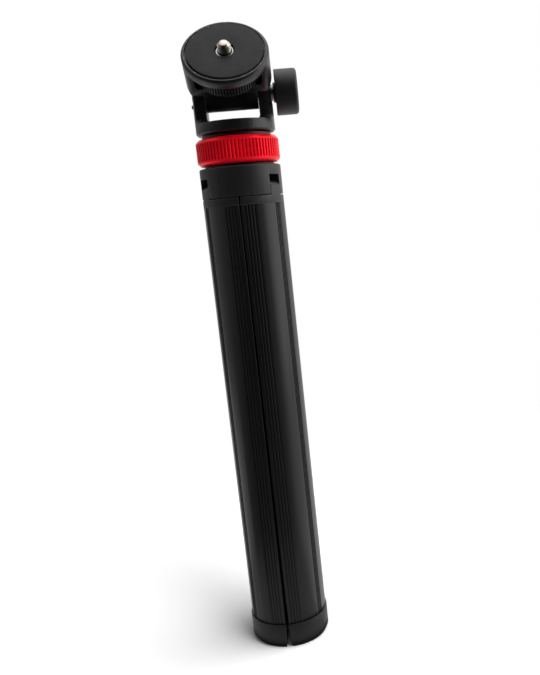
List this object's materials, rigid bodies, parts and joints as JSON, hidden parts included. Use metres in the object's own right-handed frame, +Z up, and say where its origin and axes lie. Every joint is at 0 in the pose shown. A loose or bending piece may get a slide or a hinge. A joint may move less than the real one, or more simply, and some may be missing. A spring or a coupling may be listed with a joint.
{
  "type": "telescoping tripod",
  "caption": "Folded pocket tripod: grooved black legs close round a nested pull-out column under a red fluted twist lock, with a panning yoke, tilting camera plate and side clamp knob.",
  "frame": {"origin": "middle of the closed feet, on the surface that the soles stand on", "axes": "+Z up the column, +X towards the tilt knob, -Y the front, where the plate leans and two legs meet"},
  "size_m": [0.0541, 0.0545, 0.3217],
  "materials": {
    "black_anodised_rail": "satin black anodised extrusion",
    "black_anodised_tube": "satin black anodised drawn tube",
    "red_anodised": "bright red anodised, turned and fluted",
    "black_cast_metal": "black satin coated metal",
    "turned_black_metal": "black anodised, smooth turned",
    "knurled_black_metal": "black anodised, knurled",
    "moulded_nylon": "fine moulded texture, black",
    "natural_acetal": "natural acetal, sliding parts",
    "sole_rubber": "black rubber",
    "pad_rubber": "dark grey rubber, fine matt",
    "zinc_steel": "zinc plated",
    "stainless_steel": "bright stainless"
  },
  "bodies": {
    "base": {"hub": "moulded_nylon", "leg_hinge_pins": "zinc_steel", "lock_collet": "natural_acetal"},
    "leg_1": {"leg_1_rail": "black_anodised_rail", "leg_1_hinge_cap": "moulded_nylon", "leg_1_foot": "moulded_nylon", "leg_1_foot_screw": "zinc_steel", "leg_1_sole": "sole_rubber"},
    "leg_2": {"leg_2_rail": "black_anodised_rail", "leg_2_hinge_cap": "moulded_nylon", "leg_2_foot": "moulded_nylon", "leg_2_foot_screw": "zinc_steel", "leg_2_sole": "sole_rubber"},
    "leg_3": {"leg_3_rail": "black_anodised_rail", "leg_3_hinge_cap": "moulded_nylon", "leg_3_foot": "moulded_nylon", "leg_3_foot_screw": "zinc_steel", "leg_3_sole": "sole_rubber"},
    "lock_ring": {"lock_ring": "red_anodised"},
    "section_1": {"section_1_tube": "black_anodised_tube", "section_1_mouth_ring": "moulded_nylon", "section_1_stop_collar": "moulded_nylon", "section_1_end_plug": "moulded_nylon"},
    "section_2": {"section_2_tube": "black_anodised_tube", "section_2_mouth_ring": "moulded_nylon", "section_2_slider": "natural_acetal"},
    "section_3": {"section_3_tube": "black_anodised_tube", "section_3_mouth_ring": "moulded_nylon", "section_3_slider": "natural_acetal"},
    "section_4": {"section_4_tube": "black_anodised_tube", "section_4_slider": "natural_acetal", "pan_base": "black_cast_metal", "pan_pin": "zinc_steel", "pan_washer": "natural_acetal", "pan_screw": "zinc_steel"},
    "yoke": {"yoke": "black_cast_metal", "tilt_nut": "zinc_steel"},
    "tilt_head": {"mount_bracket": "black_cast_metal", "rubber_pad": "pad_rubber"},
    "tilt_knob": {"tilt_knob": "turned_black_metal", "tilt_bolt": "zinc_steel", "knob_spacer": "zinc_steel"},
    "thumb_wheel": {"thumb_wheel": "knurled_black_metal", "camera_screw": "stainless_steel"}
  },
  "joints": [
    {"name": "leg_1_hinge", "type": "hinge", "parent": "base", "child": "leg_1", "pos_m": [0.01451, -0.00838, 0.244], "axis": [-0.5, -0.866, 0], "range_deg": [0, 75]},
    {"name": "leg_2_hinge", "type": "hinge", "parent": "base", "child": "leg_2", "pos_m": [0, 0.01675, 0.244], "axis": [1, 0, 0], "range_deg": [0, 75]},
    {"name": "leg_3_hinge", "type": "hinge", "parent": "base", "child": "leg_3", "pos_m": [-0.01451, -0.00838, 0.244], "axis": [-0.5, 0.866, 0], "range_deg": [0, 75]},
    {"name": "section_1_slide", "type": "slide", "parent": "base", "child": "section_1", "axis": [0, 0, 1], "range_m": [0, 0.2117]},
    {"name": "section_2_slide", "type": "slide", "parent": "section_1", "child": "section_2", "axis": [0, 0, 1], "range_m": [0, 0.2192]},
    {"name": "section_3_slide", "type": "slide", "parent": "section_2", "child": "section_3", "axis": [0, 0, 1], "range_m": [0, 0.216]},
    {"name": "section_4_slide", "type": "slide", "parent": "section_3", "child": "section_4", "axis": [0, 0, 1], "range_m": [0, 0.2128]},
    {"name": "lock_ring_turn", "type": "hinge", "parent": "base", "child": "lock_ring", "pos_m": [0, 0, 0.2632], "axis": [0, 0, 1], "range_deg": [0, 120]},
    {"name": "pan", "type": "hinge", "parent": "section_4", "child": "yoke", "pos_m": [0, 0, 0.2741], "axis": [0, 0, 1], "continuous": true},
    {"name": "tilt", "type": "hinge", "parent": "yoke", "child": "tilt_head", "pos_m": [0, 0, 0.2895], "axis": [0.9986, 0.0523, 0], "range_deg": [-125.5, 24.5]},
    {"name": "tilt_knob_turn", "type": "hinge", "parent": "yoke", "child": "tilt_knob", "pos_m": [0.02197, 0.00115, 0.2895], "axis": [0.9986, 0.0523, 0], "range_deg": [0, 300]},
    {"name": "thumb_wheel_turn", "type": "hinge", "parent": "tilt_head", "child": "thumb_wheel", "pos_m": [0.00073, -0.01387, 0.30095], "axis": [0.0404, -0.7706, 0.6361], "continuous": true}
  ]
}
